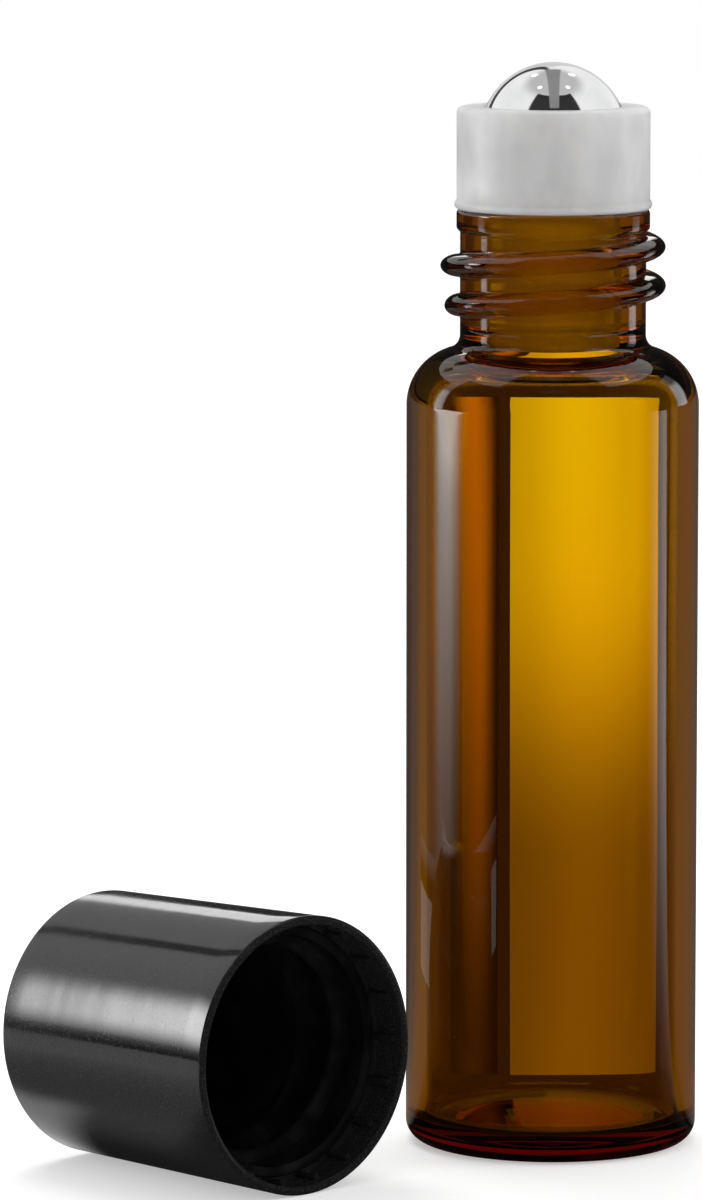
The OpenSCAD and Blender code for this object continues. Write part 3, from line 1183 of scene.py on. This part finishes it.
    def lamp(self, name: str, at: Place, aim: Place, size: Point, power: float) -> None:
        """Hangs a soft rectangular lamp, which mirroring surfaces don't show.

        Args:
            name: name of the lamp.
            at: its place.
            aim: the point that it faces.
            size: its width and height, in mm.
            power: its power in watts.
        """
        data = bpy.data.lights.new(name, "AREA")
        data.shape = "RECTANGLE"
        data.size, data.size_y = size[0] * MM, size[1] * MM
        data.energy = power
        lamp = bpy.data.objects.new(name, data)
        bpy.context.scene.collection.objects.link(lamp)
        lamp.location = self.turned_to_view() @ (Vector(at) * MM)
        way = self.turned_to_view() @ (Vector(aim) - Vector(at))
        lamp.rotation_euler = way.to_track_quat("-Z", "Y").to_euler()
        lamp.visible_camera = lamp.visible_glossy = lamp.visible_transmission = False

    def dressed(self, card: bpy.types.Object, seen: Seen) -> Nodes:
        """Gives a card its own material, and lets only some rays see it.

        Args:
            card: the card.
            seen: which rays see it.

        Returns:
            The nodes of the material.
        """
        material = bpy.data.materials.new(card.name)
        card.data.materials.append(material)
        for ray in RAYS:
            setattr(card, ray, ray == seen.value)
        return Nodes(material)

    def card(
        self, name: str, corners: Sequence[Place], seen: Seen,
        light: Callable[[Nodes, Value, Value], Lit],
    ) -> None:
        """Stands up a card that only glass or gloss shows.

        Args:
            name: name of the card.
            corners: its four corners, in order round it. The first edge is its foot.
            seen: which rays see it.
            light: gives its colour and strength from its two shares, along its foot and upwards.
        """
        bpy.ops.object.select_all(action="DESELECT")
        bpy.ops.mesh.primitive_plane_add(size=1)
        card = bpy.context.active_object
        card.name = name
        order = [card.data.vertices[i] for i in card.data.polygons[0].vertices]
        shares = [(0.0, 0.0), (1.0, 0.0), (1.0, 1.0), (0.0, 1.0)]
        for vertex, corner in zip(order, corners):
            vertex.co = self.turned_to_view() @ (Vector(corner) * MM)
        for loop, share in zip(card.data.polygons[0].loop_indices, shares):
            card.data.uv_layers.active.data[loop].uv = share
        nodes = self.dressed(card, seen)
        across, up, _ = nodes.split(nodes.add("ShaderNodeTexCoord").outputs["UV"])
        colour, strength = light(nodes, across, up)
        # What is mirrored inside solid glass, as in the bottle's base, hardly shows the card.
        shallow = self.path(nodes, "Transmission Depth").maths("LESS_THAN", 2.5)
        solid = self.mirrored(nodes) * self.through(nodes) * shallow
        nodes.ends_in(nodes.emission((1 - solid * 0.97) * strength, colour))

    @staticmethod
    def spot(across: Value, along: Value, radius: float) -> Value:
        """Gives 1 within a radius of the place where both values are 0, with a soft edge."""
        return 1 - (across * across + along * along).maths("SQRT").rise(radius * 0.7, radius * 1.2)

    def tent(self) -> None:
        """Sets a white dome over the ball, with a dark gap in front, which only gloss shows."""
        radius = self.tent_radius * MM
        bpy.ops.object.select_all(action="DESELECT")
        bpy.ops.mesh.primitive_uv_sphere_add(segments=96, ring_count=48, radius=radius)
        tent = bpy.context.active_object
        tent.name = "tent"
        bpy.ops.object.mode_set(mode="EDIT")
        bpy.ops.mesh.select_all(action="SELECT")
        foot = (0, 0, self.tent_foot * MM)
        bpy.ops.mesh.bisect(plane_co=foot, plane_no=(0, 0, 1), clear_inner=True)
        bpy.ops.object.mode_set(mode="OBJECT")
        tent.location.z = self.ball_height * MM
        nodes = self.dressed(tent, Seen.IN_REFLECTIONS)
        right, away, up = self.parts(nodes, "Object")
        bearing = self.bearing(right, away)
        aside, sideways = bearing.maths("ABSOLUTE"), right.maths("ABSOLUTE")
        high = (up * (1 / radius)).maths("ARCSINE").maths("DEGREES")
        # The gap that the camera looks through, and the grey rod that stands in it.
        gap = (1 - aside.rise(44.0, 49.0)) * (1 - high.rise(61.5, 64.0))
        rod = (1 - sideways.rise(0.0026, 0.0031)) * high.rise(42.0, 44.0) * (1 - away.rise(0.013, 0.014))
        # The dark crescent behind on the left, and the dimmer cloth outside it.
        edge = high + bearing + 125.0
        crescent = edge.band(-2.0, 12.0, 3.0) * bearing.band(-172.0, -130.0, 6.0)
        outer = (1 - (high - aside + 125.0).rise(-8.0, -2.0)) * aside.rise(125.0, 140.0)
        cloth = (1 - gap * 0.96) * (1 - crescent * 0.93) * (1 - outer * 0.3)
        cloth = cloth * (1 - high.rise(52.0, 68.0) * 0.42) * 1.02
        lamps = self.spot(sideways - 0.0071, away + 0.0038, 0.0011)
        lamps = lamps + self.spot(sideways - 0.0072, away - 0.0098, 0.0013)
        nodes.ends_in(nodes.emission(cloth * (1 - rod) + rod * 0.3 + lamps * 2.5))

    def neck_tent(self) -> None:
        """Sets a dark tube with a pale strip on each side round the neck, which only gloss shows."""
        bpy.ops.object.select_all(action="DESELECT")
        bpy.ops.mesh.primitive_cylinder_add(
            vertices=96, radius=self.tent_radius * MM, depth=self.neck_depth * MM,
            end_fill_type="NOTHING",
        )
        tube = bpy.context.active_object
        tube.name = "neck_tent"
        tube.location.z = self.neck_height * MM
        nodes = self.dressed(tube, Seen.IN_REFLECTIONS)
        right, away, up = self.parts(nodes, "Object")
        bearing = self.bearing(right, away)
        strips = bearing.band(-89.0, -84.0, 4.0) * 3.2 + bearing.band(99.0, 108.0, 5.0) * 2.2
        strips = strips * (1 - up.rise(0.0005, 0.0035) * 0.8)
        nodes.ends_in(nodes.emission(strips + 0.02))

    def build(self) -> None:
        """Sets up the whole studio."""
        bpy.context.scene.view_settings.view_transform = "Standard"
        self.camera()
        self.floor()
        self.world()
        for name, corners, seen, light in CARDS:
            self.card(name, corners, seen, light)
        self.tent()
        self.neck_tent()
        self.lamp("soft_left", (-560, 60, 150), (0, 0, 40), (180, 320), 0.65)
        self.lamp("soft_right", (520, 0, 220), (0, 0, 40), (220, 400), 0.85)
        self.lamp("soft_top", (-80, 260, 420), (0, 0, 40), (300, 220), 0.9)


def main() -> None:
    """Builds the pieces and the studio."""
    logging.basicConfig(level=logging.INFO, format="%(message)s")
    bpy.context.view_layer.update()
    fitment, cap = BallFitment(), ScrewCap()
    makers = (
        GlassBottle().build, fitment.build_housing, fitment.build_ball,
        cap.build_shell, cap.build_sleeve, cap.build_disc,
    )
    for make in makers:
        piece = make()
        log.info("%s: %d faces", piece.name, len(piece.data.polygons))
    Studio().build()


if __name__ == "__main__":
    main()
